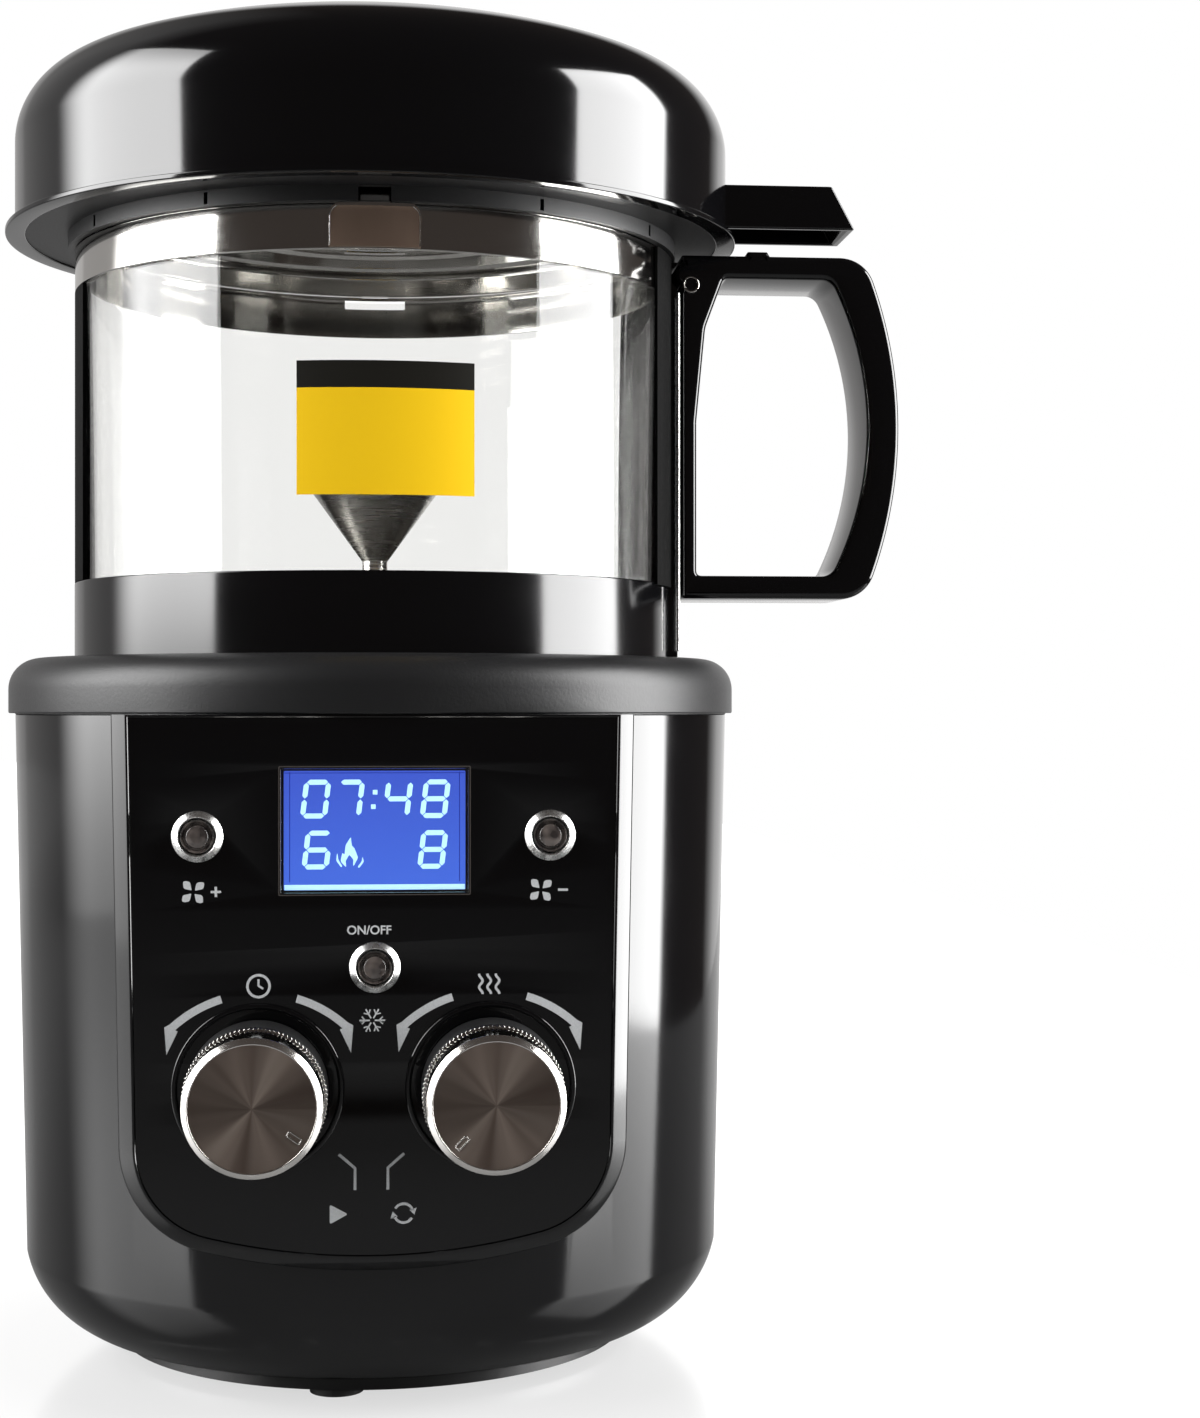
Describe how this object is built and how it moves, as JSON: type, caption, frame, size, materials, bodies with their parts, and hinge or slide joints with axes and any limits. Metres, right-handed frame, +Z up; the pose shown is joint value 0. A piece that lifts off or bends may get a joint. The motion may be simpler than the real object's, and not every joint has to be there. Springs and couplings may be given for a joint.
{
  "type": "home coffee bean roaster",
  "caption": "Round hot-air roaster with a glass jar, loop handle, domed lift-off lid, chaff cup and a flat control panel with a display, push buttons and rotary knobs.",
  "frame": {"origin": "on the axis of the round body, on the surface it stands on", "axes": "+Z up along the body's axis, -Y out of the control panel, +X along the jar's handle"},
  "size_m": [0.1977, 0.1834, 0.2878],
  "materials": {
    "gloss_black": "high gloss",
    "soft_grey": "soft touch, matt",
    "black_plastic": "moulded, low sheen",
    "rubber": "matt",
    "silicone": "matt",
    "polished_steel": "polished",
    "brushed_steel": "brushed",
    "fasteners": "plain",
    "clear_glass": "clear, polished",
    "clear_lens": "clear, polished",
    "button_cap": "gloss",
    "display": "backlit",
    "circuit_board": "solder mask",
    "encoder_metal": "plain",
    "bronze": "sintered",
    "armature": "laminated core",
    "wheel": "pressed sheet",
    "mica": "matt",
    "heating_wire": "oxidised"
  },
  "bodies": {
    "base": {"panel_frame": "gloss_black", "casing": "gloss_black", "control_fascia": "gloss_black", "display_lens": "clear_lens", "display_module": "display", "control_board": "circuit_board", "board_screws": "fasteners", "push_switches": "black_plastic", "button_bezels": "polished_steel", "time_encoder": "encoder_metal", "heat_encoder": "encoder_metal", "grip_ring": "soft_grey", "top_deck": "black_plastic", "seat_gasket": "silicone", "hot_air_duct": "brushed_steel", "heater_frame": "mica", "heater_coil": "heating_wire", "thermal_cutout": "encoder_metal", "blower_shell": "black_plastic", "blower_plate": "black_plastic", "motor_can": "brushed_steel", "motor_bushes": "bronze", "power_board": "circuit_board", "base_plate": "black_plastic", "foot_ring": "black_plastic", "rubber_feet": "rubber", "case_screws": "fasteners", "cord_gland": "black_plastic"},
    "rotor": {"motor_shaft": "brushed_steel", "motor_armature": "armature", "blower_wheel": "wheel"},
    "fan_up": {"fan_up_button": "button_cap"},
    "fan_down": {"fan_down_button": "button_cap"},
    "cool": {"cool_button": "button_cap"},
    "time_push": {"time_plunger": "brushed_steel"},
    "time_turn": {"time_shaft": "brushed_steel", "time_knob": "black_plastic", "time_knob_cap": "polished_steel"},
    "heat_push": {"heat_plunger": "brushed_steel"},
    "heat_turn": {"heat_shaft": "brushed_steel", "heat_knob": "black_plastic", "heat_knob_cap": "polished_steel"},
    "jar": {"jar_seat": "brushed_steel", "jar_band": "black_plastic", "glass_gasket": "silicone", "bed_plate": "brushed_steel", "deflector_post": "brushed_steel", "deflector_cone": "brushed_steel", "glass_tube": "clear_glass", "top_ring": "polished_steel", "catch_plates": "polished_steel", "handle_spine": "polished_steel", "handle": "gloss_black", "handle_pin": "fasteners", "handle_screws": "fasteners"},
    "lid": {"lid_dome": "gloss_black", "lid_underplate": "black_plastic", "lid_tab": "gloss_black"},
    "cup": {"chaff_cup": "brushed_steel", "chaff_screen": "brushed_steel"}
  },
  "joints": [
    {"name": "blower_spin", "type": "hinge", "parent": "base", "child": "rotor", "pos_m": [0, 0, 0.035], "axis": [0, 0, 1], "continuous": true},
    {"name": "fan_up_press", "type": "slide", "parent": "base", "child": "fan_up", "axis": [0, 1, 0], "range_m": [0, 0.0006], "stiffness_N_per_m": 400, "springref_m": -0.0012},
    {"name": "fan_down_press", "type": "slide", "parent": "base", "child": "fan_down", "axis": [0, 1, 0], "range_m": [0, 0.0006], "stiffness_N_per_m": 400, "springref_m": -0.0012},
    {"name": "cool_press", "type": "slide", "parent": "base", "child": "cool", "axis": [0, 1, 0], "range_m": [0, 0.0006], "stiffness_N_per_m": 400, "springref_m": -0.0012},
    {"name": "time_press", "type": "slide", "parent": "base", "child": "time_push", "axis": [0, 1, 0], "range_m": [0, 0.0008], "stiffness_N_per_m": 1500, "springref_m": -0.0012},
    {"name": "time_dial", "type": "hinge", "parent": "time_push", "child": "time_turn", "pos_m": [-0.0223, -0.09, 0.0662], "axis": [0, 1, 0], "continuous": true},
    {"name": "heat_press", "type": "slide", "parent": "base", "child": "heat_push", "axis": [0, 1, 0], "range_m": [0, 0.0008], "stiffness_N_per_m": 1500, "springref_m": -0.0012},
    {"name": "heat_dial", "type": "hinge", "parent": "heat_push", "child": "heat_turn", "pos_m": [0.0223, -0.09, 0.0662], "axis": [0, 1, 0], "continuous": true},
    {"name": "jar_lift", "type": "slide", "parent": "base", "child": "jar", "axis": [0, 0, 1], "range_m": [0, 0.04]},
    {"name": "lid_lift", "type": "slide", "parent": "jar", "child": "lid", "axis": [0, 0, 1], "range_m": [0, 0.09]},
    {"name": "cup_lift", "type": "slide", "parent": "jar", "child": "cup", "axis": [0, 0, 1], "range_m": [0, 0.045]}
  ],
  "couplings": [
    {"joint": "cup_lift", "follows": "lid_lift", "ratio": 0.5}
  ]
}
